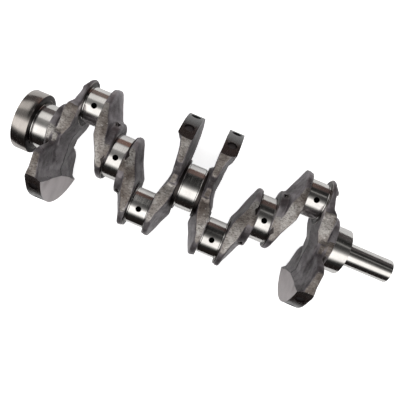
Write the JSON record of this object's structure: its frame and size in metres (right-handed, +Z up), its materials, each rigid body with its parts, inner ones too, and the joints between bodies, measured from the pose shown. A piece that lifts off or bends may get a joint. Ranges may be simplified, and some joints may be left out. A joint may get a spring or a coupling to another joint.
{
  "type": "crankshaft",
  "caption": "Forged inline four-cylinder crankshaft with ground main journals and crankpins, slanted webs, fan-shaped counterweights, flywheel flange and plain front nose.",
  "frame": {"origin": "on the crank axis, midway between the flywheel face and the end of the nose, which is the centre of the bounding box", "axes": "+X along the crank axis from the flywheel flange to the front nose, +Y across towards crankpins 1 and 4, +Z up, square to the crank plane; the oil holes face +Z"},
  "size_m": [0.5096, 0.178, 0.14],
  "materials": {
    "ground_steel": "ground and polished, bright, with fine marks running round the journal",
    "seal_steel": "ground seal surface, slightly duller than the journals",
    "forged_steel": "dark, grainy forged skin, shot blasted and oiled",
    "plug_steel": "pressed steel plug, satin",
    "bush_bronze": "sintered bronze, satin",
    "dowel_steel": "ground dowel, bright",
    "key_steel": "bright drawn key steel, satin"
  },
  "bodies": {
    "root": {"counterweight_web_1": "forged_steel", "counterweight_web_4": "forged_steel", "counterweight_web_5": "forged_steel", "counterweight_web_8": "forged_steel", "crankpin_1": "ground_steel", "crankpin_2": "ground_steel", "crankpin_3": "ground_steel", "crankpin_4": "ground_steel", "flywheel_dowel": "dowel_steel", "front_nose": "ground_steel", "gallery_plug_1": "plug_steel", "gallery_plug_2": "plug_steel", "gallery_plug_3": "plug_steel", "gallery_plug_4": "plug_steel", "main_journal_1": "ground_steel", "main_journal_2": "ground_steel", "main_journal_3": "ground_steel", "main_journal_4": "ground_steel", "main_journal_5": "ground_steel", "nose_key": "key_steel", "pilot_bush": "bush_bronze", "plain_web_2": "forged_steel", "plain_web_3": "forged_steel", "plain_web_6": "forged_steel", "plain_web_7": "forged_steel", "rear_flange": "seal_steel"}
  },
  "joints": []
}
